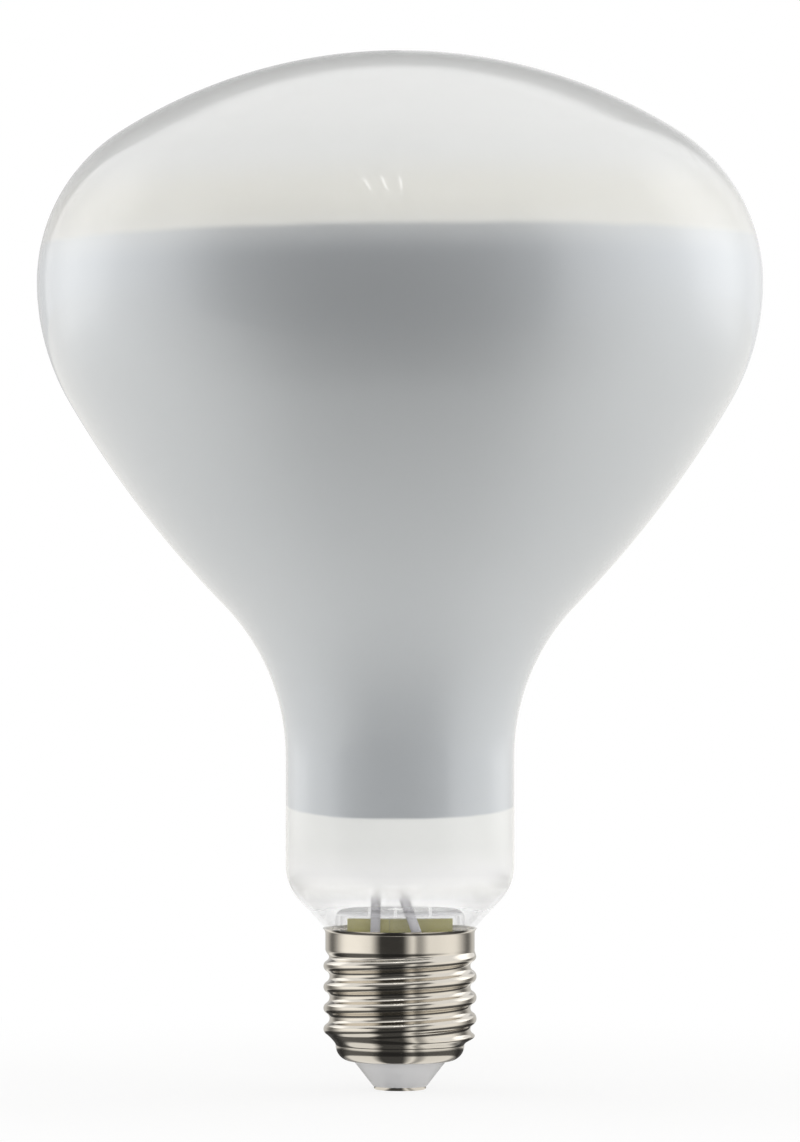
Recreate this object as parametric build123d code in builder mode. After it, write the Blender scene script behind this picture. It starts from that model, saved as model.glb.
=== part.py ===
from build123d import *
import os
from math import acos, asin, atan2, cos, degrees, radians, sin, sqrt, tan

# Reflector lamp of the R125 size with LED filaments, on an E27 screw cap. Sizes are in millimetres.
# +Z runs up the axis to the dome, and the origin is the middle of the centre contact's underside.

# Glass bulb
bulb_diameter = 125.0
dome_height = 39.85  # widest ring up to the top of the dome
shoulder_radius = 30.5  # rounds the dome down to the widest ring
under_radius = 40.8  # rounds the bulb in below the widest ring
under_angle = 30.4  # how far that rounding goes, in degrees
belly_radius = 182.0  # slow curve of the cone
flare_radius = 37.4  # hollow curve from the cone into the neck
neck_diameter = 39.4
neck_length = 18.6  # straight part of the neck
neck_corner_radius = 9.0
taper_angle = 43.0  # of the glass below the neck, from the axis
barrel_corner_radius = 2.0
barrel_length = 0.7  # straight glass inside the cap
glass_wall = 0.8

# Mirror coat on the inner wall of the bulb
mirror_thickness = 0.15
mirror_top_rise = 7.5  # upper edge above the widest ring
mirror_top_tilt = 0.7
mirror_foot_drop = 8.3  # lower edge below the top of the straight neck
mirror_foot_tilt = 5.0

# Screw cap
cap_height = 27.75  # contact's underside up to the rim
cap_wall = 0.3
thread_diameter = 26.4
thread_pitch = 3.629
thread_depth = 1.05
thread_phase = 8.55  # height of a crest on the +X side
thread_sections = 12  # sections drawn in each turn
band_diameter = 25.74  # plain band above the thread
band_length = 2.55
flange_height = 0.9
flange_flare = 0.45
foot_height = 4.9  # lowest point of the shell
foot_diameter = 22.2  # plain part under the thread
foot_radius = 2.7
lip_diameter = 16.1  # hole in the shell's foot

# Insulator and centre contact
contact_diameter = 9.0
contact_thickness = 0.55
contact_edge_radius = 0.2
insulator_foot_step = 0.1  # insulator beyond the contact's edge
insulator_flange = 1.4  # inside the shell, beyond the lip
insulator_top = 7.5
rivet_diameter = 2.8
rivet_bore = 0.8
rivet_head_diameter = 4.2
rivet_head_height = 0.7

# Stem
cement_gap = 0.35
bell_wall = 0.9
bell_gap = 0.25  # between the bell and the barrel
seal_thickness = 1.0
button_rise = 3.25  # top of the bell above the cap's rim
button_thickness = 1.2
button_edge_radius = 1.6
rod_diameter = 4.4
knob_diameter = 6.0
tip_diameter = 3.8
tip_length = 4.5

# Filament frame
wire_diameter = 0.5
lead_circle_radius = 4.37
lead_angles = {"left": 200.0, "right": 272.0}
lead_leans = {"left": -0.3, "right": 5.1}  # sideways travel from the bend down to the board
lead_bend_rise = 3.5  # bend above the button
lead_bend_radius = 1.2
lead_pad_drop = 9.0  # pads on the board, below the button
sleeve_diameter = 1.7
sleeve_length = 11.0
hoop_width = 1.2  # upright strip
hoop_thickness = 0.4
lower_hoop_height = 78.0
lower_hoop_radius = 8.0
upper_hoop_height = 116.0
upper_hoop_radius = 13.0
spoke_count = 4
spoke_depth = 1.5  # into the knob
filament_count = 8
filament_start_angle = 100.0
filament_diameter = 1.8
tab_length = 2.5
tab_width = 1.0
tab_thickness = 0.25
tab_clearance = 0.15  # between a tab and its hoop
hoop_overhang_angle = 8.0  # hoop beyond its last filament

# Driver
board_front = 2.8  # board's front face, behind the axis
board_thickness = 1.0
board_foot_height = 11.5
board_top_gap = 0.6
board_side_gap = 0.4
chip_width = 5.0
chip_height = 4.0
chip_thickness = 1.5
bridge_width = 4.7
bridge_height = 3.8
bridge_thickness = 1.4
chip_edge = 0.3
component_offset = 5.2  # chip and bridge, beside the axis
component_rise = 5.0  # their middle above the board's foot
capacitor_diameter = 5.0
capacitor_length = 11.0
capacitor_edge = 0.5
capacitor_offset = -2.8
choke_diameter = 4.4
choke_waist_diameter = 3.2
choke_length = 7.0
choke_flange = 1.0
choke_offset = 3.2
fuse_diameter = 2.4
fuse_length = 5.5
fuse_edge = 0.6
fuse_pad_height = 19.5
side_wire_gap = 2.0  # above the bridge rectifier
side_wire_offset = 7.0
side_wire_reach = 1.8

# Small clearances
fit_clearance = 0.05
seat_clearance = 0.1  # glass inside the cap's rim

# Cap radii and heights
crest_radius = thread_diameter / 2
root_radius = crest_radius - thread_depth
band_radius = band_diameter / 2
middle_radius = crest_radius - thread_depth / 2
foot_top = foot_height + foot_radius
foot_side = foot_diameter / 2
foot_centre = Vector(foot_side - foot_radius, foot_top)
lip_radius = lip_diameter / 2
flange_radius = (flange_height**2 + flange_flare**2) / (2 * flange_flare)
band_top = cap_height - flange_height
band_foot = band_top - band_length
thread_height = band_foot - foot_top
rim_bore = band_radius + flange_radius - sqrt((flange_radius + cap_wall) ** 2 - flange_height**2)

# Glass radii and heights, from the cap's rim up to the dome
neck_radius = neck_diameter / 2
barrel_radius = band_radius - cap_wall - cement_gap
seat_radius = rim_bore - seat_clearance
taper = radians(taper_angle)
taper_top_radius = neck_radius - neck_corner_radius * (1 - cos(taper))
taper_foot_radius = barrel_radius + barrel_corner_radius * (1 - cos(taper))
taper_top = cap_height + (taper_top_radius - seat_radius) / tan(taper)
neck_foot = taper_top + neck_corner_radius * sin(taper)
barrel_top = cap_height - (seat_radius - taper_foot_radius) / tan(taper) - barrel_corner_radius * sin(taper)
seal_height = barrel_top - barrel_length
flare_foot = neck_foot + neck_length
under_turn = radians(under_angle)
cone_radii = under_radius + flare_radius + (belly_radius - under_radius) * cos(under_turn)
belly_turn = acos((cone_radii - bulb_diameter / 2 + neck_radius) / (belly_radius + flare_radius))
belly_angle = degrees(belly_turn)
flare_centre = Vector(neck_radius + flare_radius, flare_foot)
belly_reach = belly_radius + flare_radius
belly_centre = flare_centre - Vector(cos(belly_turn), -sin(belly_turn)) * belly_reach
under_reach = belly_radius - under_radius
under_centre = belly_centre + Vector(cos(under_turn), -sin(under_turn)) * under_reach
widest_height = under_centre.Y
overall_height = widest_height + dome_height
shoulder_centre = Vector(bulb_diameter / 2 - shoulder_radius, widest_height)
crown_sum = dome_height**2 + shoulder_centre.X**2 - shoulder_radius**2
crown_radius = crown_sum / (2 * (dome_height - shoulder_radius))
crown_centre = Vector(0, overall_height - crown_radius)
crown_angle = degrees(atan2(shoulder_centre.X, widest_height - crown_centre.Y))

# Stem and filament frame
bell_radius = barrel_radius - glass_wall - bell_gap
bell_bore = bell_radius - bell_wall
button_top = cap_height + button_rise
button_foot = button_top - button_thickness
rod_radius = rod_diameter / 2
knob_radius = knob_diameter / 2
tip_radius = tip_diameter / 2
wire_radius = wire_diameter / 2
filament_angles = [filament_start_angle + 360 / filament_count * index for index in range(filament_count)]
hoop_arc = 360 / filament_count * (filament_count / 2 - 1) + 2 * hoop_overhang_angle
hoop_starts = {
    "left": filament_angles[0] - hoop_overhang_angle,
    "right": filament_angles[filament_count // 2] - hoop_overhang_angle,
}

# Board
board_back = board_front + board_thickness
board_half_width = sqrt((bell_bore - board_side_gap) ** 2 - board_back**2)
board_top = button_foot - board_top_gap
component_height = board_foot_height + component_rise
board_middle = (board_foot_height + board_top) / 2
side_wire_height = component_height + bridge_height / 2 + side_wire_gap

os.makedirs("parts", exist_ok=True)


def write(builder, name):
    """Label a finished piece and write it as its own file."""
    builder.part.label = name
    export_step(builder.part, f"parts/{name}.step")


def polar(radius, angle, height):
    """The point at a radius and an angle about the axis."""
    return Vector(radius * cos(radians(angle)), radius * sin(radians(angle)), height)


def glass_outline(inset):
    """Half section of the bulb's skin at a depth inside its outer face, from the dome's top to the seal."""
    top = CenterArc(crown_centre, crown_radius - inset, 90, -crown_angle)
    CenterArc(shoulder_centre, shoulder_radius - inset, 90 - crown_angle, crown_angle - 90)
    CenterArc(under_centre, under_radius - inset, 0, -under_angle)
    CenterArc(belly_centre, belly_radius - inset, -under_angle, under_angle - belly_angle)
    flare = CenterArc(flare_centre, flare_radius + inset, 180 - belly_angle, belly_angle)
    corner_centre = (neck_radius - neck_corner_radius, neck_foot)
    corner = CenterArc(corner_centre, neck_corner_radius - inset, 0, -taper_angle)
    Line(flare @ 1, corner @ 0)
    barrel_centre = (barrel_radius + barrel_corner_radius, barrel_top)
    foot = CenterArc(barrel_centre, barrel_corner_radius + inset, 180 - taper_angle, taper_angle)
    Line(corner @ 1, foot @ 0)
    barrel = Line(foot @ 1, (barrel_radius - inset, seal_height))
    return top @ 0, barrel @ 1


def skin_section(outer, inner):
    """Half section of the bulb's wall between two depths inside its outer face."""
    with BuildSketch(Plane.XZ) as section:
        with BuildLine():
            outer_top, outer_foot = glass_outline(outer)
            inner_top, inner_foot = glass_outline(inner)
            Line(outer_top, inner_top)
            Line(outer_foot, inner_foot)
        make_face()
    return section.sketch


def ease(share):
    """Smooth rise from 0 to 1 as the share goes from 0 to 1."""
    return sin(radians(90 * min(share, 1))) ** 2


def thread_rings(inset):
    """Round sections of the rolled thread at a depth inside its outer face, which wind about the axis."""
    ring_count = round(thread_height / thread_pitch * thread_sections)
    half_pitch = thread_pitch / 2
    rings = []
    for index in range(ring_count + 1):
        height = foot_top + thread_height * index / ring_count
        from_foot = ease((height - foot_top) / half_pitch)
        from_band = ease((band_foot - height) / half_pitch)
        to_foot = (foot_side - middle_radius) * (1 - from_foot)
        to_band = (band_radius - middle_radius) * (1 - from_band)
        throw = thread_depth / 2 * from_foot * from_band
        turn = 360 * (height - thread_phase) / thread_pitch
        with BuildSketch(Plane.XY.offset(height)) as ring:
            with Locations(polar(throw, turn, 0)):
                Circle(middle_radius + to_foot + to_band - inset)
        rings.append(ring.sketch)
    return rings


# Glass bulb
wall_section = skin_section(0, glass_wall)
with BuildPart() as glass_bulb:
    revolve(wall_section, axis=Axis.Z)
write(glass_bulb, "glass_bulb")

# Mirror coat, cut off square across the dome's side and askew in the neck
coat_section = skin_section(glass_wall, glass_wall + mirror_thickness)
with BuildPart() as mirror_coating:
    revolve(coat_section, axis=Axis.Z)
    top_edge = Plane.XY.offset(widest_height + mirror_top_rise).rotated((0, -mirror_top_tilt, 0))
    split(bisect_by=top_edge, keep=Keep.BOTTOM)
    foot_edge = Plane.XY.offset(flare_foot - mirror_foot_drop).rotated((mirror_foot_tilt, 0, 0))
    split(bisect_by=foot_edge, keep=Keep.TOP)
write(mirror_coating, "mirror_coating")

# Screw shell, rolled from thin sheet
outer_rings = thread_rings(0)
inner_rings = thread_rings(cap_wall)
with BuildPart() as cap_shell:
    loft(outer_rings)
    loft(inner_rings, mode=Mode.SUBTRACT)
    with BuildSketch(Plane.XZ):
        with BuildLine():
            foot_ends = []
            for radius in (foot_radius, foot_radius - cap_wall):
                lip_angle = degrees(acos((lip_radius - foot_centre.X) / radius))
                foot_ends.append(CenterArc(foot_centre, radius, -lip_angle, lip_angle))
            for end in (0, 1):
                Line(foot_ends[0] @ end, foot_ends[1] @ end)
        make_face()
        with BuildLine():
            rim_ends = []
            for inset in (0, cap_wall):
                radius = flange_radius + inset
                flare_angle = degrees(asin(flange_height / radius))
                flange = CenterArc((band_radius + flange_radius, band_top), radius, 180, -flare_angle)
                band = Line((band_radius - inset, band_foot), flange @ 0)
                rim_ends.append((band @ 0, flange @ 1))
            for end in (0, 1):
                Line(rim_ends[0][end], rim_ends[1][end])
        make_face()
    revolve(axis=Axis.Z)
write(cap_shell, "cap_shell")

# Insulator, with a flange that the shell's foot is rolled under
with BuildPart() as cap_insulator:
    with BuildSketch(Plane.XZ):
        with BuildLine():
            neck_line = lip_radius - fit_clearance
            bed_radius = foot_radius - cap_wall - fit_clearance
            bed_start = degrees(acos((neck_line - foot_centre.X) / bed_radius))
            bed_end = degrees(acos((lip_radius + insulator_flange - foot_centre.X) / bed_radius))
            bed = CenterArc(foot_centre, bed_radius, -bed_start, bed_start - bed_end)
            Polyline(bed @ 1, ((bed @ 1).X, insulator_top), (0, insulator_top), (0, contact_thickness),
                     (contact_diameter / 2 + insulator_foot_step, contact_thickness),
                     (neck_line, foot_height), bed @ 0)
        make_face()
    revolve(axis=Axis.Z)
    with BuildSketch(Plane.XY):
        Circle(rivet_diameter / 2 + fit_clearance)
    extrude(amount=insulator_top, mode=Mode.SUBTRACT)
write(cap_insulator, "cap_insulator")

# Centre contact, a disc with a hollow rivet turned over on top of the insulator
with BuildPart() as centre_contact:
    with BuildSketch():
        Circle(contact_diameter / 2)
    extrude(amount=contact_thickness)
    fillet(centre_contact.edges().group_by(Axis.Z)[0], contact_edge_radius)
    with BuildSketch(Plane.XY.offset(contact_thickness)):
        Circle(rivet_diameter / 2)
    extrude(amount=insulator_top - contact_thickness)
    with BuildSketch(Plane.XY.offset(insulator_top)):
        Circle(rivet_head_diameter / 2)
    extrude(amount=rivet_head_height)
    chamfer(centre_contact.edges().group_by(Axis.Z)[-1], contact_edge_radius)
    with BuildSketch(Plane.XY.offset(contact_thickness)):
        Circle(rivet_bore / 2)
    extrude(amount=insulator_top + rivet_head_height, mode=Mode.SUBTRACT)
write(centre_contact, "centre_contact")

# Lead wires: up from the board through the button, then out to a half hoop that carries the filaments
sleeve_planes = {}
for side, lead_angle in lead_angles.items():
    at_bend = polar(lead_circle_radius, lead_angle, button_top + lead_bend_rise)
    at_pad = Vector(at_bend.X + lead_leans[side], at_bend.Y, button_foot - lead_pad_drop)
    at_turn = polar(lead_circle_radius, lead_angle, lower_hoop_height)
    at_hoop = polar(lower_hoop_radius, lead_angle, lower_hoop_height)
    with BuildPart() as lead_wire:
        with BuildLine():
            route = FilletPolyline((at_pad.X, board_front, at_pad.Z), at_pad, at_bend, at_turn, at_hoop,
                                   radius=lead_bend_radius)
        with BuildSketch(Plane(origin=route @ 0, z_dir=route % 0)):
            Circle(wire_radius)
        sweep(path=route)
        start = hoop_starts[side]
        hoop_plane = Plane((0, 0, lower_hoop_height), polar(1, start, 0), polar(1, start + 90, 0))
        with BuildSketch(hoop_plane):
            with Locations((lower_hoop_radius, 0)):
                Rectangle(hoop_thickness, hoop_width)
        revolve(axis=Axis.Z, revolution_arc=hoop_arc)
    write(lead_wire, f"lead_wire_{side}")
    fall = (at_pad - at_bend).normalized()
    sleeve_planes[side] = Plane(origin=at_bend + fall * lead_bend_radius, z_dir=fall)
    with BuildPart() as lead_sleeve:
        with BuildSketch(sleeve_planes[side]):
            Circle(sleeve_diameter / 2)
            Circle(wire_radius + fit_clearance, mode=Mode.SUBTRACT)
        extrude(amount=sleeve_length)
    write(lead_sleeve, f"lead_sleeve_{side}")

# Hoop that joins the filaments' upper ends, with spokes into the stem's knob
with BuildPart() as top_hoop:
    with BuildSketch(Plane.XZ):
        with Locations((upper_hoop_radius, upper_hoop_height)):
            Rectangle(hoop_thickness, hoop_width)
    revolve(axis=Axis.Z)
    for spoke_index in range(spoke_count):
        spoke_angle = filament_start_angle + 360 / filament_count / 2 + 360 / spoke_count * spoke_index
        spoke_end = polar(upper_hoop_radius, spoke_angle, upper_hoop_height)
        inwards = polar(-1, spoke_angle, 0)
        with BuildSketch(Plane(origin=spoke_end, x_dir=polar(1, spoke_angle + 90, 0), z_dir=inwards)):
            Rectangle(hoop_thickness, hoop_width)
        extrude(amount=upper_hoop_radius - knob_radius + spoke_depth)
write(top_hoop, "top_hoop")

# Glass stem: a bell sealed to the barrel, a flat button, the rod with its knob, and the exhaust tip
with BuildPart() as glass_stem:
    with BuildSketch(Plane.XZ):
        with BuildLine():
            seal_foot = seal_height - seal_thickness
            tip_centre = (0, button_foot - tip_length + tip_radius)
            tip = CenterArc(tip_centre, tip_radius, -90, 90)
            edge_centre = (bell_radius - button_edge_radius, button_top - button_edge_radius)
            edge = CenterArc(edge_centre, button_edge_radius, 0, 90)
            Polyline(tip @ 1, (tip_radius, button_foot), (bell_bore, button_foot), (bell_bore, seal_foot),
                     (barrel_radius, seal_foot), (barrel_radius, seal_height), (bell_radius, seal_height),
                     edge @ 0)
            knob_angle = degrees(acos(rod_radius / knob_radius))
            knob = CenterArc((0, upper_hoop_height), knob_radius, -knob_angle, 90 + knob_angle)
            Polyline(edge @ 1, (rod_radius, button_top), knob @ 0)
            Line(knob @ 1, tip @ 0)
        make_face()
    revolve(axis=Axis.Z)
    add(top_hoop.part, mode=Mode.SUBTRACT)
    for sleeve_plane in sleeve_planes.values():
        with BuildSketch(sleeve_plane):
            Circle(sleeve_diameter / 2 + fit_clearance)
        extrude(amount=sleeve_length, mode=Mode.SUBTRACT)
write(glass_stem, "glass_stem")

# LED filaments, each with a welding tab at both ends
for index, filament_angle in enumerate(filament_angles):
    foot_point = polar(lower_hoop_radius, filament_angle, lower_hoop_height)
    head_point = polar(upper_hoop_radius, filament_angle, upper_hoop_height)
    span = head_point - foot_point
    outwards = polar(1, filament_angle, 0)
    stand_off = hoop_thickness / 2 + tab_clearance + tab_thickness / 2
    filament_plane = Plane(origin=foot_point, x_dir=outwards.cross(span), z_dir=span)
    with BuildPart() as led_filament:
        with BuildSketch(filament_plane.offset(tab_length)):
            with Locations((0, stand_off)):
                Circle(filament_diameter / 2)
        extrude(amount=span.length - 2 * tab_length)
        with BuildSketch(filament_plane.offset(-tab_width)):
            with Locations((0, stand_off)):
                Rectangle(tab_width, tab_thickness)
        extrude(amount=span.length + 2 * tab_width)
    write(led_filament, f"led_filament_{index + 1}")

# Driver board, upright behind the axis
with BuildPart() as driver_board:
    with BuildSketch(Plane.XZ.offset(-board_back)):
        with Locations((0, board_middle)):
            Rectangle(2 * board_half_width, board_top - board_foot_height)
    extrude(amount=board_thickness)
write(driver_board, "driver_board")

# Chip and bridge rectifier on the board's front
with BuildPart() as driver_chip:
    with BuildSketch(Plane.XZ.offset(-board_front)):
        with Locations((-component_offset, component_height)):
            Rectangle(chip_width, chip_height)
    extrude(amount=chip_thickness)
    chamfer(driver_chip.edges().group_by(Axis.Y)[0], chip_edge)
write(driver_chip, "driver_chip")

with BuildPart() as bridge_rectifier:
    with BuildSketch(Plane.XZ.offset(-board_front)):
        with Locations((component_offset, component_height)):
            Rectangle(bridge_width, bridge_height)
    extrude(amount=bridge_thickness)
    chamfer(bridge_rectifier.edges().group_by(Axis.Y)[0], chip_edge)
write(bridge_rectifier, "bridge_rectifier")

# Capacitor and choke on the board's back
with BuildPart() as smoothing_capacitor:
    with BuildSketch(Plane.XY.offset(board_middle - capacitor_length / 2)):
        with Locations((capacitor_offset, board_back + fit_clearance + capacitor_diameter / 2)):
            Circle(capacitor_diameter / 2)
    extrude(amount=capacitor_length)
    chamfer(smoothing_capacitor.edges().filter_by(GeomType.CIRCLE), capacitor_edge)
write(smoothing_capacitor, "smoothing_capacitor")

with BuildPart() as choke:
    choke_middle = (choke_offset, board_back + fit_clearance + choke_diameter / 2)
    choke_foot = Plane.XY.offset(board_middle - choke_length / 2)
    for flange_plane in (choke_foot, choke_foot.offset(choke_length - choke_flange)):
        with BuildSketch(flange_plane):
            with Locations(choke_middle):
                Circle(choke_diameter / 2)
        extrude(amount=choke_flange)
    with BuildSketch(choke_foot):
        with Locations(choke_middle):
            Circle(choke_waist_diameter / 2)
    extrude(amount=choke_length)
write(choke, "choke")

# Fuse resistor, its lead down the rivet's bore and back to the board
with BuildPart() as fuse_resistor:
    fuse_foot = board_foot_height
    fuse_wire = rivet_bore - 2 * fit_clearance
    with BuildLine():
        fuse_route = FilletPolyline((0, 0, contact_thickness), (0, 0, fuse_pad_height),
                                    (0, board_front, fuse_pad_height), radius=lead_bend_radius)
    with BuildSketch(Plane.XY.offset(contact_thickness)):
        Circle(fuse_wire / 2)
    sweep(path=fuse_route)
    with BuildSketch(Plane.XY.offset(fuse_foot)):
        Circle(fuse_diameter / 2)
    extrude(amount=fuse_length)
    ends = fuse_resistor.edges().filter_by(GeomType.CIRCLE)
    chamfer(ends.filter_by(lambda edge: edge.radius == fuse_diameter / 2), fuse_edge)
write(fuse_resistor, "fuse_resistor")

# Wire from the board to the inside of the shell
with BuildPart() as side_wire:
    wire_depth = board_front - side_wire_reach
    shell_reach = sqrt((root_radius - cap_wall) ** 2 - (abs(wire_depth) + wire_radius) ** 2)
    with BuildLine():
        side_route = FilletPolyline((side_wire_offset, board_front, side_wire_height),
                                    (side_wire_offset, wire_depth, side_wire_height),
                                    (shell_reach, wire_depth, side_wire_height), radius=lead_bend_radius)
    with BuildSketch(Plane(origin=side_route @ 0, z_dir=side_route % 0)):
        Circle(wire_radius)
    sweep(path=side_route)
write(side_wire, "side_wire")

# Cement between the glass and the shell
with BuildPart() as cap_cement:
    with BuildSketch(Plane.XY.offset(seal_height - seal_thickness)):
        Circle(band_radius - cap_wall)
        Circle(barrel_radius, mode=Mode.SUBTRACT)
    extrude(amount=band_top - seal_height + seal_thickness)
    add(glass_bulb.part, mode=Mode.SUBTRACT)
write(cap_cement, "cap_cement")
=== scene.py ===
from math import acos, asin, atan2, cos, degrees, pi, radians, sin, sqrt, tan

import bpy
import numpy as np
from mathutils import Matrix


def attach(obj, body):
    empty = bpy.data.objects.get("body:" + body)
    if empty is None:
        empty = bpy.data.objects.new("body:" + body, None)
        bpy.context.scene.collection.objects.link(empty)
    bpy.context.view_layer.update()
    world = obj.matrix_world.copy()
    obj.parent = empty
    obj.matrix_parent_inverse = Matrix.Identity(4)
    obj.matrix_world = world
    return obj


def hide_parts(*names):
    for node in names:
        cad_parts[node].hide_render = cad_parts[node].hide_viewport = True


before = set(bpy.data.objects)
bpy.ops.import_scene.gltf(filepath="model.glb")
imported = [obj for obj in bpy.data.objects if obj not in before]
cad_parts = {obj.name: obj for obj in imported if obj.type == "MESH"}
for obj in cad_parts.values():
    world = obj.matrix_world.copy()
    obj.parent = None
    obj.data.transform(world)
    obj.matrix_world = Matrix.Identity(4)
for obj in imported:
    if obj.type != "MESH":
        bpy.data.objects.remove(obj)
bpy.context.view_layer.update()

# The lamp's sizes, in millimetres, as in the part's source. Meshes are made in metres.
MM = 0.001
bulb_diameter = 125.0
dome_height = 39.85
shoulder_radius = 30.5
under_radius = 40.8
under_angle = 30.4
belly_radius = 182.0
flare_radius = 37.4
neck_diameter = 39.4
neck_length = 18.6
neck_corner_radius = 9.0
taper_angle = 43.0
barrel_corner_radius = 2.0
barrel_length = 0.7
glass_wall = 0.8
mirror_top_rise = 7.5
mirror_top_tilt = 0.7
mirror_foot_drop = 8.3
mirror_foot_tilt = 5.0
cap_height = 27.75
cap_wall = 0.3
thread_diameter = 26.4
thread_pitch = 3.629
thread_depth = 1.05
thread_phase = 8.55
band_diameter = 25.74
band_length = 2.55
flange_height = 0.9
flange_flare = 0.45
foot_height = 4.9
foot_diameter = 22.2
foot_radius = 2.7
lip_diameter = 16.1
contact_diameter = 9.0
contact_thickness = 0.55
contact_edge_radius = 0.2
insulator_foot_step = 0.1
insulator_flange = 1.4
insulator_top = 7.5
rivet_diameter = 2.8
fit_clearance = 0.05
cement_gap = 0.35
seat_clearance = 0.1
button_rise = 3.25

# Radii and heights that follow from them
neck_radius = neck_diameter / 2
crest_radius = thread_diameter / 2
root_radius = crest_radius - thread_depth
band_radius = band_diameter / 2
foot_top = foot_height + foot_radius
foot_side = foot_diameter / 2
foot_centre = (foot_side - foot_radius, foot_top)
lip_radius = lip_diameter / 2
flange_radius = (flange_height**2 + flange_flare**2) / (2 * flange_flare)
band_top = cap_height - flange_height
band_foot = band_top - band_length
rim_bore = band_radius + flange_radius - sqrt((flange_radius + cap_wall) ** 2 - flange_height**2)
barrel_radius = band_radius - cap_wall - cement_gap
seat_radius = rim_bore - seat_clearance
taper = radians(taper_angle)
taper_top_radius = neck_radius - neck_corner_radius * (1 - cos(taper))
taper_foot_radius = barrel_radius + barrel_corner_radius * (1 - cos(taper))
taper_top = cap_height + (taper_top_radius - seat_radius) / tan(taper)
neck_foot = taper_top + neck_corner_radius * sin(taper)
taper_foot = cap_height - (seat_radius - taper_foot_radius) / tan(taper)
barrel_top = taper_foot - barrel_corner_radius * sin(taper)
seal_height = barrel_top - barrel_length
flare_foot = neck_foot + neck_length
under_turn = radians(under_angle)
cone_radii = under_radius + flare_radius + (belly_radius - under_radius) * cos(under_turn)
belly_turn = acos((cone_radii - bulb_diameter / 2 + neck_radius) / (belly_radius + flare_radius))
belly_angle = degrees(belly_turn)
flare_centre = (neck_radius + flare_radius, flare_foot)
belly_reach = belly_radius + flare_radius
belly_centre = (
    flare_centre[0] - belly_reach * cos(belly_turn),
    flare_foot + belly_reach * sin(belly_turn),
)
under_reach = belly_radius - under_radius
under_centre = (
    belly_centre[0] + under_reach * cos(under_turn),
    belly_centre[1] - under_reach * sin(under_turn),
)
widest_height = under_centre[1]
overall_height = widest_height + dome_height
shoulder_centre = (bulb_diameter / 2 - shoulder_radius, widest_height)
crown_sum = dome_height**2 + shoulder_centre[0] ** 2 - shoulder_radius**2
crown_radius = crown_sum / (2 * (dome_height - shoulder_radius))
crown_centre = (0, overall_height - crown_radius)
crown_angle = degrees(atan2(shoulder_centre[0], widest_height - crown_centre[1]))
button_top = cap_height + button_rise

# How many straight pieces the arcs and lines of the half sections have
crown_pieces = 22
shoulder_pieces = 26
under_pieces = 14
belly_pieces = 16
flare_pieces = 22
neck_pieces = 6
neck_corner_pieces = 14
taper_pieces = 6
barrel_corner_pieces = 8
flange_pieces = 6
thread_pieces = 110
foot_pieces = 16
bed_pieces = 6
cone_pieces = 6
contact_pieces = 6
contact_edge_pieces = 5

# In how many steps the pieces are turned, and the angles over which their edges stay sharp
bulb_steps = 192
bulb_sharp_angle = 35.0
shell_steps = 160
shell_sharp_angle = 50.0
insulator_steps = 128
insulator_sharp_angle = 30.0
contact_steps = 96
contact_sharp_angle = 40.0
merge_distance = 0.002


# Modelling

def arc(centre, radius, start, end, pieces):
    """Points of a half section along an arc, from one angle to another in degrees."""
    angles = np.radians(np.linspace(start, end, pieces + 1))
    return [(centre[0] + radius * cos(angle), centre[1] + radius * sin(angle)) for angle in angles]


def run(start, end, pieces):
    """Points of a half section along a straight line, without its first one."""
    shares = np.linspace(0, 1, pieces + 1)[1:]
    return [(start[0] + (end[0] - start[0]) * s, start[1] + (end[1] - start[1]) * s) for s in shares]


def turned(name, outline, steps, sharp_angle):
    """A piece turned about the axis from the points of its half section."""
    bpy.ops.object.select_all(action="DESELECT")
    bpy.ops.mesh.primitive_plane_add(size=MM)
    piece = bpy.context.object
    piece.name = piece.data.name = name
    bpy.ops.object.mode_set(mode="EDIT")
    bpy.ops.mesh.select_all(action="SELECT")
    bpy.ops.mesh.merge(type="CENTER")
    here = (0, 0)
    for index, point in enumerate(outline):
        move = ((point[0] - here[0]) * MM, 0, (point[1] - here[1]) * MM)
        if index:
            bpy.ops.mesh.extrude_vertices_move(TRANSFORM_OT_translate={"value": move})
        else:
            bpy.ops.transform.translate(value=move)
        here = point
    bpy.ops.mesh.select_all(action="SELECT")
    bpy.ops.mesh.spin(steps=steps, angle=2 * pi, center=(0, 0, 0), axis=(0, 0, 1))
    bpy.ops.mesh.select_all(action="SELECT")
    bpy.ops.mesh.remove_doubles(threshold=merge_distance * MM)
    bpy.ops.mesh.normals_make_consistent(inside=False)
    bpy.ops.object.mode_set(mode="OBJECT")
    bpy.ops.object.shade_smooth_by_angle(angle=radians(sharp_angle))
    return piece


def glass_skin(inset):
    """Half section of the glass at a depth inside its outer face, from the dome's top to the seal."""
    corner_centre = (neck_radius - neck_corner_radius, neck_foot)
    corner = arc(corner_centre, neck_corner_radius - inset, 0, -taper_angle, neck_corner_pieces)
    foot_arc_centre = (barrel_radius + barrel_corner_radius, barrel_top)
    foot_arc_radius = barrel_corner_radius + inset
    foot = arc(foot_arc_centre, foot_arc_radius, 180 - taper_angle, 180, barrel_corner_pieces)
    flare = arc(flare_centre, flare_radius + inset, 180 - belly_angle, 180, flare_pieces)
    return [
        *arc(crown_centre, crown_radius - inset, 90, 90 - crown_angle, crown_pieces),
        *arc(shoulder_centre, shoulder_radius - inset, 90 - crown_angle, 0, shoulder_pieces)[1:],
        *arc(under_centre, under_radius - inset, 0, -under_angle, under_pieces)[1:],
        *arc(belly_centre, belly_radius - inset, -under_angle, -belly_angle, belly_pieces)[1:],
        *flare[1:],
        *run(flare[-1], corner[0], neck_pieces),
        *corner[1:],
        *run(corner[-1], foot[0], taper_pieces),
        *foot[1:],
        (barrel_radius - inset, seal_height),
    ]


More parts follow.
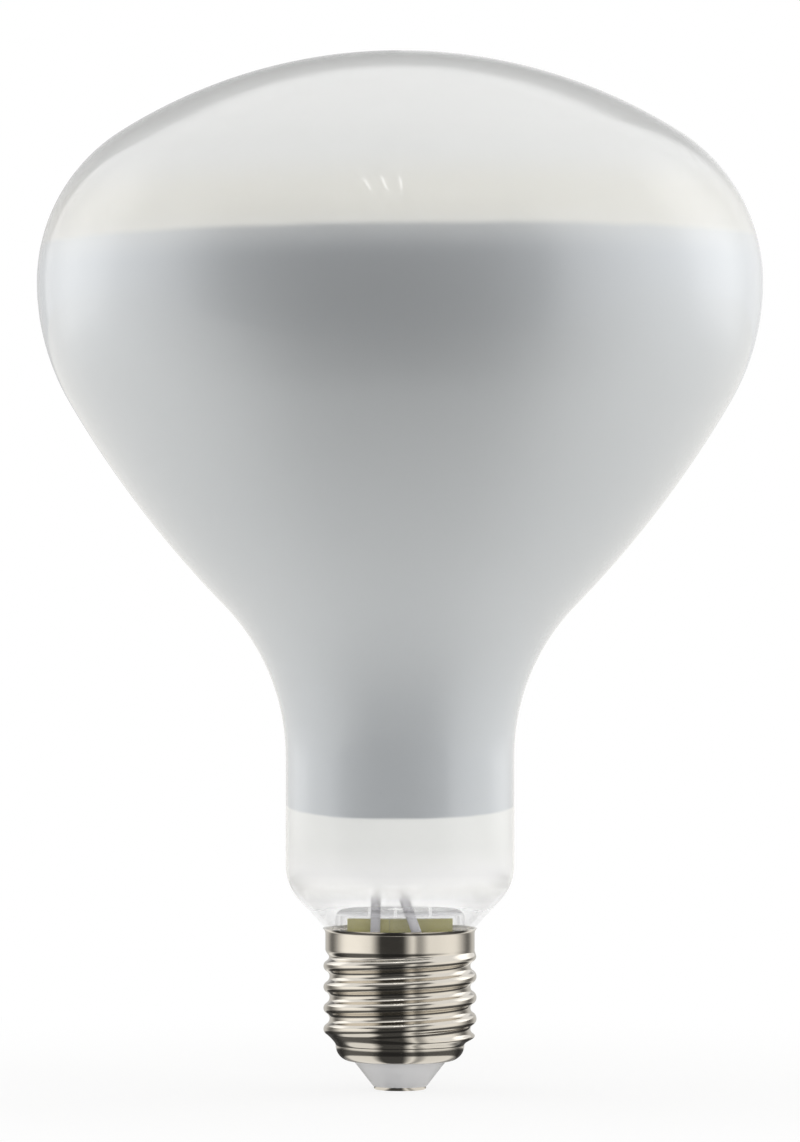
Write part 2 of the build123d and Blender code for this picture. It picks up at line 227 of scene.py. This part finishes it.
def bulb():
    """The blown bulb, with its outer and inner skin, open at the seal's bore."""
    return turned("bulb", glass_skin(0) + glass_skin(glass_wall)[::-1], bulb_steps, bulb_sharp_angle)


def ease(share):
    """Smooth rise from 0 to 1 as the shares go from 0 to 1."""
    return np.sin(np.pi / 2 * np.clip(share, 0, 1)) ** 2


def roll_thread(shell):
    """Roll the thread into the plain shell, between its foot and its band."""
    spots = np.empty(len(shell.data.vertices) * 3)
    shell.data.vertices.foreach_get("co", spots)
    spots = spots.reshape(-1, 3)
    radius = np.hypot(spots[:, 0], spots[:, 1]) / MM
    height = spots[:, 2] / MM
    inset = np.where(radius < root_radius - cap_wall / 2, cap_wall, 0)
    rolled = (height > foot_top) & (height < band_foot) & (radius > lip_radius)
    turn = np.arctan2(spots[:, 1], spots[:, 0]) / (2 * pi)
    quarter = thread_pitch / 4
    wave_radius = (quarter**2 + (thread_depth / 2) ** 2) / thread_depth
    along = (height - thread_phase - turn * thread_pitch) % thread_pitch
    from_crest = np.minimum(along, thread_pitch - along)
    near_crest = from_crest < quarter
    reach = np.where(near_crest, from_crest, 2 * quarter - from_crest)
    fall = wave_radius - np.sqrt(wave_radius**2 - reach**2)
    wave = np.where(near_crest, thread_depth / 2 - fall, fall - thread_depth / 2)
    half_pitch = thread_pitch / 2
    from_foot = ease((height - foot_top) / half_pitch)
    from_band = ease((band_foot - height) / half_pitch)
    middle = crest_radius - thread_depth / 2
    to_foot = (foot_side - middle) * (1 - from_foot)
    to_band = (band_radius - middle) * (1 - from_band)
    target = middle + wave * from_foot * from_band + to_foot + to_band - inset
    grow = np.where(rolled, target / radius, 1)
    spots[:, 0] *= grow
    spots[:, 1] *= grow
    shell.data.vertices.foreach_set("co", spots.ravel())
    shell.data.update()


def shell_section(inset):
    """Half section of the plain shell at a depth inside its outer face, from the rim to the lip."""
    foot_arc_radius = foot_radius - inset
    lip_angle = degrees(acos((lip_radius - foot_centre[0]) / foot_arc_radius))
    flange = flange_radius + inset
    flare_angle = degrees(asin(flange_height / flange))
    side = root_radius - inset
    return [
        *arc((band_radius + flange_radius, band_top), flange, 180 - flare_angle, 180, flange_pieces),
        (band_radius - inset, (band_top + band_foot) / 2),
        (band_radius - inset, band_foot),
        *run((side, band_foot), (side, foot_top), thread_pieces)[:-1],
        *arc(foot_centre, foot_arc_radius, 0, -lip_angle, foot_pieces),
    ]


def screw_shell():
    """The rolled shell of the cap, with its flared rim, plain band, round thread and turned in foot."""
    outside = shell_section(0)
    inside = shell_section(cap_wall)[::-1]
    shell = turned("screw_shell", outside + inside + outside[:1], shell_steps, shell_sharp_angle)
    roll_thread(shell)
    return shell


def insulator_cone():
    """The moulded cone under the shell, with its flange inside."""
    neck_line = lip_radius - fit_clearance
    bed_radius = foot_radius - cap_wall - fit_clearance
    bed_start = degrees(acos((neck_line - foot_centre[0]) / bed_radius))
    bed_end = degrees(acos((lip_radius + insulator_flange - foot_centre[0]) / bed_radius))
    bed = arc(foot_centre, bed_radius, -bed_end, -bed_start, bed_pieces)
    cone_foot = (contact_diameter / 2 + insulator_foot_step, contact_thickness)
    bore = rivet_diameter / 2 + fit_clearance
    outline = [
        (bore, insulator_top),
        (bed[0][0], insulator_top),
        *bed,
        (neck_line, foot_height),
        *run((neck_line, foot_height), cone_foot, cone_pieces),
        (bore, contact_thickness),
        (bore, insulator_top),
    ]
    return turned("insulator_cone", outline, insulator_steps, insulator_sharp_angle)


def contact_disc():
    """The centre contact: a rounded disc with its rivet."""
    edge_centre = (contact_diameter / 2 - contact_edge_radius, contact_edge_radius)
    outline = [
        (0, 0),
        *run((0, 0), (edge_centre[0], 0), contact_pieces),
        *arc(edge_centre, contact_edge_radius, -90, 0, contact_edge_pieces)[1:],
        (contact_diameter / 2, contact_thickness),
        (rivet_diameter / 2, contact_thickness),
        (rivet_diameter / 2, insulator_top),
        (0, insulator_top),
    ]
    return turned("contact_disc", outline, contact_steps, contact_sharp_angle)


# Nodes of the finishes

class Value:
    """A node's output. Sums, differences, products and quotients of it add Math nodes."""

    def __init__(self, recipe, socket):
        self.recipe = recipe
        self.socket = socket

    def __add__(self, other):
        return self.recipe.math("ADD", self, other)

    def __sub__(self, other):
        return self.recipe.math("SUBTRACT", self, other)

    def __rsub__(self, other):
        return self.recipe.math("SUBTRACT", other, self)

    def __mul__(self, other):
        return self.recipe.math("MULTIPLY", self, other)

    def __truediv__(self, other):
        return self.recipe.math("DIVIDE", self, other)

    __radd__ = __add__
    __rmul__ = __mul__


class Recipe:
    """The node tree of one finish, or of the studio around the lamp."""

    def __init__(self, owner):
        owner.use_nodes = True
        self.tree = owner.node_tree
        self.tree.nodes.clear()

    def node(self, kind, sockets=None, settings=None, output=0):
        """Add a node with its settings and the values or links of its sockets, and give one output."""
        made = self.tree.nodes.new(kind)
        for name, setting in (settings or {}).items():
            setattr(made, name, setting)
        for name, value in (sockets or {}).items():
            if isinstance(value, Value):
                self.tree.links.new(value.socket, made.inputs[name])
            else:
                made.inputs[name].default_value = value
        return Value(self, made.outputs[output])

    def math(self, operation, *terms):
        """The result of one Math node."""
        return self.node("ShaderNodeMath", dict(enumerate(terms)), {"operation": operation})

    def step(self, value, low, high):
        """0 below the low value, 1 above the high one, and a smooth rise between."""
        sockets = {"Value": value, "From Min": low, "From Max": high}
        return self.node("ShaderNodeMapRange", sockets, {"interpolation_type": "SMOOTHSTEP"})

    def between(self, value, rise, fall):
        """0, then 1 after the two values of the rise, then 0 again after those of the fall."""
        return self.step(value, *rise) * (1 - self.step(value, *fall))

    def window(self, value, low, high, soft):
        """1 between two values, with soft ends."""
        half = soft / 2
        return self.between(value, (low - half, low + half), (high - half, high + half))

    def blend(self, share, first, second):
        """Colour that goes from the first to the second with the share."""
        sockets = {0: share, 6: first, 7: second}
        return self.node("ShaderNodeMix", sockets, {"data_type": "RGBA"}, 2)

    def parts(self, vector):
        """The three parts of a vector."""
        return [self.node("ShaderNodeSeparateXYZ", {0: vector}, output=axis) for axis in range(3)]

    def spot(self):
        """The place on the piece as a vector, in metres."""
        return self.node("ShaderNodeTexCoord", output="Object")

    def noise(self, spot, scale, detail=2.0):
        """Soft noise between 0 and 1, with its scale in waves to the metre."""
        return self.node("ShaderNodeTexNoise", {"Vector": spot, "Scale": scale, "Detail": detail})

    def bearing(self, x, y):
        """Angle about the axis in degrees, from the front towards the right."""
        return self.math("ARCTAN2", x, y * -1) * degrees(1)

    def edge_on(self):
        """0 where the surface faces the eye and 1 where it is seen edge on, for the look of glass."""
        return self.node("ShaderNodeLayerWeight", output="Facing")

    def rays(self, *kinds):
        """1 for each kind of ray that meets the surface, and otherwise 0."""
        return [self.node("ShaderNodeLightPath", output=f"Is {kind} Ray") for kind in kinds]

    def ray_length(self):
        """How far the ray has come, in metres."""
        return self.node("ShaderNodeLightPath", output="Ray Length")

    def surface(self, shader, kind="ShaderNodeOutputMaterial"):
        """Make the shader the tree's result."""
        made = self.tree.nodes.new(kind)
        self.tree.links.new(shader.socket, made.inputs["Surface"])


def new_finish(name):
    """A new material and its empty recipe."""
    material = bpy.data.materials.new(name)
    return material, Recipe(material)


# Finishes: heights and widths in millimetres, and pairs that say where a change starts and ends
black = (0, 0, 0, 1)
white = (1, 1, 1, 1)

mirror_edge_wander = 0.5
mirror_wander_scale = 90.0
mirror_top_edge = (-0.3, 1.2)
mirror_top_edge_share = 0.72
mirror_top_fade = (0.0, 6.0)
mirror_foot_edge = (-0.25, 0.35)
mirror_pale_rise = (95.0, 140.0)
mirror_gloss_rise = (55.0, 95.0)
mirror_foot_gloss = 0.5
mirror_gloss_gain = 0.25
mirror_cloud_scale = 14.0
mirror_cloud_share = 0.4
mirror_dark_silver = (0.59, 0.616, 0.641, 1)
mirror_pale_silver = (0.69, 0.717, 0.742, 1)
warm_band = (-9.0, 1.0)
warm_band_soft = 8.0
milky_white = (0.818, 0.828, 0.805, 1)
warm_white = (0.808, 0.797, 0.73, 1)
# Painted light: the lower neck's milk is painted near white, standing in for light that shines through
# the thin frosting from behind. It fades into the dome's milk between these heights.
neck_backlight_painted_white = (0.99, 0.99, 0.965, 1)
neck_backlight_painted_fade = (36.0, 43.0)
milk_rise = (32.6, 37.4)
# Painted light: a faint glow in the thin milk just above the clear glass, standing in for light shining
# through it from behind. These are its heights, soft edge and colour.
thin_milk = (32.4, 36.6)
thin_milk_soft = 2.0
thin_milk_light = (0.125, 0.125, 0.12, 1)
haze_rise = (31.0, 32.5)
haze_edge = (0.35, 0.8)
clear_haze = 0.03
edge_haze = 0.12
upper_haze = 0.09
milk_depth = 2.0
glass_grain_scale = 2500.0
glass_grain_roughness = 0.06
glass_roughness = 0.52
gloss_roughness = 0.03
gloss_index = 1.5


def bulb_finish():
    """Milky dome and neck, a satin mirror between them and clear glass above the cap, all glossy. The
    lower neck is painted lighter and given a faint glow, standing in for light shining through it from
    behind.
    """
    material, mix = new_finish("milky_and_mirrored_glass")
    spot = mix.spot()
    x, y, z = [part / MM for part in mix.parts(spot)]
    wander = (mix.noise(spot, mirror_wander_scale) - 0.5) * mirror_edge_wander
    under_top = widest_height + mirror_top_rise + x * tan(radians(mirror_top_tilt)) + wander - z
    above_foot = z - (flare_foot - mirror_foot_drop + y * tan(radians(mirror_foot_tilt)) + wander)
    top_edge = mix.step(under_top, *mirror_top_edge) * mirror_top_edge_share
    top_fade = mix.step(under_top, *mirror_top_fade) * (1 - mirror_top_edge_share)
    mirror = (top_edge + top_fade) * mix.step(above_foot, *mirror_foot_edge)
    warm = mix.window(under_top, *warm_band, warm_band_soft)
    dome_milk = mix.blend(warm, milky_white, warm_white)
    # Below these heights the milk gets the near-white colour that paints in light shining through the
    # neck from behind.
    milk = mix.blend(mix.step(z, *neck_backlight_painted_fade), neck_backlight_painted_white, dome_milk)
    cloud = mix.noise(spot, mirror_cloud_scale, detail=4.0) * mirror_cloud_share
    pale = cloud + mix.step(z, *mirror_pale_rise) * (1 - mirror_cloud_share)
    silver = mix.blend(pale, mirror_dark_silver, mirror_pale_silver)
    gloss = mirror_foot_gloss + mix.step(z, *mirror_gloss_rise) * mirror_gloss_gain
    grain = mix.noise(spot, glass_grain_scale, detail=1.0)
    haze = clear_haze + mix.step(mix.edge_on(), *haze_edge) * edge_haze
    haze = haze + mix.step(z, *haze_rise) * upper_haze
    # Painted glow: the thin milk just above the clear glass gives off a little light of its own,
    # standing in for light that shines through it from behind.
    back_lit = mix.window(z, *thin_milk, thin_milk_soft)
    mix.surface(mix.node("ShaderNodeBsdfPrincipled", {
        "Base Color": mix.blend(mirror, milk, silver),
        "Metallic": mirror * gloss,
        "Roughness": glass_roughness + grain * glass_grain_roughness,
        "Subsurface Weight": 1.0,
        "Subsurface Radius": (1.0, 1.0, 1.0),
        "Subsurface Scale": milk_depth * MM,
        "Coat Weight": 1.0,
        "Coat Roughness": gloss_roughness,
        "Coat IOR": gloss_index,
        "Emission Color": mix.blend(back_lit, black, thin_milk_light),
        "Emission Strength": 1.0,
        "Alpha": haze + (1 - haze) * mix.step(z, *milk_rise),
    }))
    return material


nickel_dark = (0.66, 0.62, 0.555, 1)
nickel_pale = (0.72, 0.68, 0.615, 1)
nickel_cloud_scale = 220.0
nickel_roughness = 0.07
rolling_mark_scale = (60.0, 60.0, 2500.0)
rolling_mark_roughness = 0.1


def nickel_finish():
    """Bright nickel plate with faint rolling marks."""
    material, mix = new_finish("nickel_plate")
    spot = mix.spot()
    along_marks = mix.node("ShaderNodeMapping", {"Vector": spot, "Scale": rolling_mark_scale})
    marks = mix.noise(along_marks, 1.0, detail=3.0)
    cloud = mix.noise(spot, nickel_cloud_scale, detail=3.0)
    mix.surface(mix.node("ShaderNodeBsdfPrincipled", {
        "Base Color": mix.blend(cloud, nickel_dark, nickel_pale),
        "Metallic": 1.0,
        "Roughness": nickel_roughness + marks * rolling_mark_roughness,
    }))
    return material


cloud_gloss_change = 0.12


def plain_finish(name, dark, light, roughness, scale, metallic=0.0):
    """A finish whose colour and gloss wander slightly between two colours."""
    material, mix = new_finish(name)
    cloud = mix.noise(mix.spot(), scale, detail=3.0)
    mix.surface(mix.node("ShaderNodeBsdfPrincipled", {
        "Base Color": mix.blend(cloud, (*dark, 1), (*light, 1)),
        "Metallic": metallic,
        "Roughness": roughness + (cloud - 0.5) * cloud_gloss_change,
    }))
    return material


stem_lavender = (0.88, 0.87, 0.95, 1)
stem_pale = (0.96, 0.96, 0.99, 1)
stem_roughness = 0.08
stem_seed_scale = 350.0
stem_seed_roughness = 0.1
stem_haze = 0.04
stem_edge = (0.5, 1.0)
stem_edge_haze = 0.3
pressed_haze = 0.4
pressed_seed_haze = 0.25
pressed_tilt = (0.35, 0.8)
pressed_drop = 0.8
pressed_margin = 0.3
press_marks = (-5.2, -0.8, 5.2)
press_mark_half_width = 0.3
press_mark_depth = 0.8
press_soft = 0.2


def stem_finish():
    """Clear glass with a faint lavender cast, cloudy where its button was pressed flat."""
    material, mix = new_finish("stem_glass")
    spot = mix.spot()
    x, y, z = [part / MM for part in mix.parts(spot)]
    seeds = mix.noise(spot, stem_seed_scale)
    upward = mix.parts(mix.node("ShaderNodeNewGeometry", output="Normal"))[2]
    at_top = mix.window(z, button_top - pressed_drop, button_top + pressed_margin, press_soft)
    pressed = mix.step(upward, *pressed_tilt) * at_top
    for mark in press_marks:
        line = mix.window(x, mark - press_mark_half_width, mark + press_mark_half_width, press_soft)
        pressed = pressed * (1 - line * press_mark_depth)
    edge = mix.step(mix.edge_on(), *stem_edge) * stem_edge_haze
    cloudy = pressed * (pressed_haze + seeds * pressed_seed_haze)
    mix.surface(mix.node("ShaderNodeBsdfPrincipled", {
        "Base Color": mix.blend(seeds, stem_lavender, stem_pale),
        "Roughness": stem_roughness + seeds * stem_seed_roughness,
        "Alpha": stem_haze + edge + cloudy,
    }))
    return material


def dress(piece, material, slot, *nodes):
    """Give a new piece its finish and the nodes that it stands for. The slot is not used."""
    piece.data.materials.clear()
    piece.data.materials.append(material)
    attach(piece, "root")
    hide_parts(*nodes)


def repaint(material, *names):
    """Give a finish to CAD nodes."""
    for name in names:
        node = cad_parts[name]
        node.data.materials.clear()
        node.data.materials.append(material)


nickel = nickel_finish()
insulator_white = plain_finish("white_insulator", (0.665, 0.665, 0.68), (0.72, 0.72, 0.73), 0.4, 160.0)
dress(bulb(), bulb_finish(), "clear_glass", "glass_bulb")
dress(screw_shell(), nickel, "nickel", "cap_shell")
dress(insulator_cone(), insulator_white, "insulator", "cap_insulator")
dress(contact_disc(), nickel, "nickel", "centre_contact")
repaint(stem_finish(), "glass_stem")
repaint(plain_finish("aluminium_coat", (0.80, 0.81, 0.82), (0.86, 0.87, 0.88), 0.3, 40.0, metallic=1.0),
        "mirror_coating")
repaint(plain_finish("lead_wire", (0.42, 0.41, 0.40), (0.55, 0.54, 0.52), 0.3, 400.0, metallic=1.0),
        "lead_wire_left", "lead_wire_right", "top_hoop", "side_wire")
repaint(plain_finish("sleeve", (0.90, 0.89, 0.97), (0.95, 0.94, 0.99), 0.35, 500.0),
        "lead_sleeve_left", "lead_sleeve_right")
repaint(plain_finish("phosphor", (0.86, 0.70, 0.22), (0.92, 0.78, 0.32), 0.55, 600.0),
        *[f"led_filament_{index}" for index in range(1, 9)])
repaint(plain_finish("board", (0.74, 0.68, 0.18), (0.87, 0.81, 0.32), 0.5, 300.0), "driver_board")
repaint(plain_finish("black_plastic", (0.02, 0.02, 0.022), (0.035, 0.035, 0.038), 0.45, 700.0),
        "driver_chip", "bridge_rectifier")
repaint(plain_finish("capacitor_can", (0.10, 0.11, 0.14), (0.14, 0.15, 0.18), 0.35, 500.0),
        "smoothing_capacitor")
repaint(plain_finish("ferrite", (0.05, 0.05, 0.05), (0.08, 0.08, 0.08), 0.6, 500.0), "choke")
repaint(plain_finish("fuse_body", (0.30, 0.42, 0.38), (0.36, 0.48, 0.44), 0.5, 500.0), "fuse_resistor")
repaint(plain_finish("cement", (0.72, 0.70, 0.44), (0.82, 0.80, 0.56), 0.8, 500.0), "cap_cement")


# Studio: lengths in metres, rises in degrees, and bearings in degrees from the front towards the right
card_level = 0.82
dark_card_depth = 0.78
dark_card_left = (-45, -26)
dark_card_right = (3, 20)
gap_depth = 0.49
gap_left = (17, 26)
gap_right = (28, 43)
left_glow = (-92, -50)
left_glow_soft = 30
left_glow_gain = 0.17
right_glow = (62, 88)
right_glow_soft = 24
right_glow_gain = 0.07
card_end = (84, 119)
card_end_depth = 0.67
card_behind = (119, 142)
card_behind_gain = 0.36


def mirrored_cards(mix, bearing):
    """Light by bearing that the cap mirrors: dark in front, a pale strip, white beside, grey behind."""
    off_front = mix.math("ABSOLUTE", bearing)
    dark = mix.between(bearing, dark_card_left, dark_card_right) * dark_card_depth
    gap = mix.between(bearing, gap_left, gap_right) * gap_depth
    glow_left = mix.window(bearing, *left_glow, left_glow_soft) * left_glow_gain
    glow_right = mix.window(bearing, *right_glow, right_glow_soft) * right_glow_gain
    end = mix.step(off_front, *card_end) * card_end_depth
    behind = mix.step(off_front, *card_behind) * card_behind_gain
    return card_level - dark - gap + glow_left + glow_right - end + behind


back_box_start = (97, 112)
back_box_end = (124, 144)


def back_boxes(mix, off_front):
    """1 at the bearings of the soft boxes behind the lamp, on both sides."""
    return mix.between(off_front, back_box_start, back_box_end)


table_front = -0.26
table_back = 3.0
table_half_width = 3.0
table_matt = (0.95, 0.945, 0.93, 1)
shadow_reach = (0.05, 0.18)
shadow_white = 0.8
cap_ray_length = (0.05, 0.07)
steep_mirror = (0.25, 0.82)
steep_soft = 0.16
steep_depth = 0.9
near_card_gain = 1.3
front_half_angle = 45.0
front_soft = 40.0
front_reach = (0.05, 0.17)
front_depth = 0.6
wide_front_half_angle = 62.0
wide_front_soft = 60.0
wide_front_depth = 0.14
near_black = (0.02, 0.02, 0.02, 1)
near_white = (0.95, 0.935, 0.90, 1)
far_reach = (0.35, 1.3)
far_white = (1.5, 1.48, 1.45, 1)


def table_finish():
    """White to the eye, with the lamp's shadow close by, and light of its own where it is mirrored."""
    material, mix = new_finish("table_white")
    spot = mix.spot()
    x, y, z = mix.parts(spot)
    bearing = mix.bearing(x, y)
    distance = mix.node("ShaderNodeVectorMath", {0: spot}, {"operation": "LENGTH"}, "Value")
    ray_length = mix.ray_length()
    from_cap = 1 - mix.step(ray_length, *cap_ray_length)
    steep = mix.window((distance - crest_radius * MM) / ray_length, *steep_mirror, steep_soft)
    cap_light = mirrored_cards(mix, bearing) * (1 - steep * steep_depth) * near_card_gain
    front = mix.window(bearing, -front_half_angle, front_half_angle, front_soft)
    front = front * mix.step(distance, *front_reach) * front_depth
    wide_front = mix.window(bearing, -wide_front_half_angle, wide_front_half_angle, wide_front_soft)
    bulb_light = 1 - wide_front * wide_front_depth - front
    light = from_cap * cap_light + (1 - from_cap) * bulb_light
    far = mix.step(distance, *far_reach) * back_boxes(mix, mix.math("ABSOLUTE", bearing))
    mirrored = mix.blend(far, mix.blend(light, near_black, near_white), far_white)
    camera, glossy, transmission = mix.rays("Camera", "Glossy", "Transmission")
    whiteness = shadow_white + mix.step(distance, *shadow_reach) * (1 - shadow_white)
    shown = mix.math("MINIMUM", camera + transmission, 1.0) * whiteness + glossy
    matt = mix.node("ShaderNodeBsdfDiffuse", {"Color": table_matt})
    glow = mix.node("ShaderNodeEmission", {"Color": mix.blend(glossy, white, mirrored)})
    mix.surface(mix.node("ShaderNodeMixShader", {0: shown, 1: matt, 2: glow}))
    material.cycles.emission_sampling = "NONE"
    return material


def studio_table():
    """The table's top, pale and lit, which ends a hand's width in front of the lamp."""
    bpy.ops.object.select_all(action="DESELECT")
    bpy.ops.mesh.primitive_plane_add(size=1.0)
    table = bpy.context.object
    table.name = "table"
    bpy.ops.object.mode_set(mode="EDIT")
    bpy.ops.mesh.select_all(action="SELECT")
    bpy.ops.transform.resize(value=(2 * table_half_width, table_back - table_front, 1))
    bpy.ops.transform.translate(value=(0, (table_front + table_back) / 2, 0))
    bpy.ops.object.mode_set(mode="OBJECT")
    table.data.materials.append(table_finish())


tube_places = (-0.215, -0.124, -0.036)
tube_half_width = 0.007
tube_soft = 0.004
tube_slant = 0.06
tube_reach = (0.56, 0.79)
tube_end_soft = 0.03
tube_overhead = (0.5, 0.6)
tube_light = 5.0


def overhead_tubes(mix, x, y, z):
    """1 in the directions of three slanting tubes overhead, which the dome mirrors as short marks."""
    forward = y * -1 / z
    across = x / z - forward * tube_slant
    tubes = sum(mix.window(across, place - tube_half_width, place + tube_half_width, tube_soft)
                for place in tube_places)
    return tubes * mix.window(forward, *tube_reach, tube_end_soft) * mix.step(z, *tube_overhead)


dim_room_left = (-80, -52)
dim_room_right = (43, 58)
dim_room_top = (34, 50)
dim_room_depth = 0.87
back_box_top = (30, 45)
back_box_gain = 0.55
right_side = (-20, 20)
right_box_gain = 0.15
wall_left = (150, 154)
wall_right = (154, 164)
wall_top = (29, 37)
wall_shade_rise = (6, 24)
wall_foot_shade = 0.15
wall_upper_shade = 0.65
wall_left_foot_shade = 0.2


def studio_light():
    """Light by direction: soft boxes at the sides, a dim room in front and a pale wall behind."""
    world = bpy.data.worlds.new("studio")
    bpy.context.scene.world = world
    mix = Recipe(world)
    x, y, z = mix.parts(mix.node("ShaderNodeTexCoord", output="Generated"))
    bearing = mix.bearing(x, y)
    rise = mix.math("ARCSINE", z) * degrees(1)
    dim = mix.between(bearing, dim_room_left, dim_room_right) * (1 - mix.step(rise, *dim_room_top))
    boxes = back_boxes(mix, mix.math("ABSOLUTE", bearing)) * (1 - mix.step(rise, *back_box_top))
    box_gain = back_box_gain + mix.step(bearing, *right_side) * right_box_gain
    left = mix.step(bearing * -1, *wall_left)
    right = mix.step(bearing, *wall_right)
    wall = (left + right) * (1 - mix.step(rise, *wall_top))
    upper = mix.step(rise, *wall_shade_rise)
    left_foot = left * (1 - upper) * wall_left_foot_shade
    shade = wall * (wall_foot_shade + upper * wall_upper_shade) + left_foot
    tubes = overhead_tubes(mix, x, y, z) * tube_light
    level = 1 - dim * dim_room_depth + boxes * box_gain - shade + tubes
    camera, transmission = mix.rays("Camera", "Transmission")
    seen = mix.math("MINIMUM", camera + transmission, 1.0)
    sky = mix.node("ShaderNodeBackground", {"Color": white, "Strength": level * (1 - seen) + seen})
    mix.surface(sky, "ShaderNodeOutputWorld")


camera_distance = 1.061
camera_height = 0.0893
focal_pixels = 6155
frame_height = 1142
film_height = 36.0


def place_camera():
    """A long lens level with the middle of the lamp."""
    bpy.ops.object.camera_add(location=(0, -camera_distance, camera_height), rotation=(pi / 2, 0, 0))
    camera = bpy.context.object
    camera.data.sensor_width = film_height
    camera.data.lens = focal_pixels / frame_height * film_height
    bpy.context.scene.camera = camera


fill_distance = 1.6
fill_rise = 5.0
fill_width = 1.2
fill_power = 14.5


def front_fill():
    """A wide lamp over the camera that lifts the shade in front. It isn't mirrored in the lamp."""
    rise = radians(fill_rise)
    spot = (0, -fill_distance * cos(rise), fill_distance * sin(rise) + camera_height)
    bpy.ops.object.light_add(type="AREA", location=spot, rotation=(pi / 2 - rise, 0, 0))
    lamp = bpy.context.object
    lamp.data.size = fill_width
    lamp.data.energy = fill_power
    lamp.visible_glossy = False
    lamp.visible_camera = False


card_radius = 0.065
card_height = 0.028
card_sides = 96
card_white = (1.25, 1.225, 1.175, 1)
card_ray_reach = (0.85, 0.88)
card_reach_turn = 0.0009


def card_finish():
    """The cards' own light for rays from the cap, which are short, and nothing for the rest."""
    material, mix = new_finish("white_and_black_card")
    x, y, z = mix.parts(mix.spot())
    bearing = mix.bearing(x, y)
    light = mix.blend(mirrored_cards(mix, bearing), black, card_white)
    card = mix.node("ShaderNodeEmission", {"Color": light})
    reach = mix.ray_length() / card_radius - mix.math("ABSOLUTE", bearing) * card_reach_turn
    from_far = mix.step(reach, *card_ray_reach)
    nothing = mix.node("ShaderNodeBsdfTransparent")
    mix.surface(mix.node("ShaderNodeMixShader", {0: from_far, 1: card, 2: nothing}))
    material.cycles.emission_sampling = "NONE"
    return material


def card_ring():
    """White and black cards around the cap, seen only where the nickel mirrors them."""
    bpy.ops.object.select_all(action="DESELECT")
    bpy.ops.mesh.primitive_cylinder_add(
        vertices=card_sides, radius=card_radius, depth=card_height, end_fill_type="NOTHING",
        location=(0, 0, card_height / 2))
    cards = bpy.context.object
    cards.name = "cards"
    bpy.ops.object.transform_apply()
    cards.data.materials.append(card_finish())
    cards.visible_camera = False
    cards.visible_diffuse = False
    cards.visible_shadow = False
    cards.visible_transmission = False


studio_table()
studio_light()
front_fill()
card_ring()
place_camera()

# The clear layers of glass that one line of sight may cross
clear_layers = 24
bpy.context.scene.cycles.transparent_max_bounces = clear_layers
bpy.context.scene.view_settings.view_transform = "Standard"
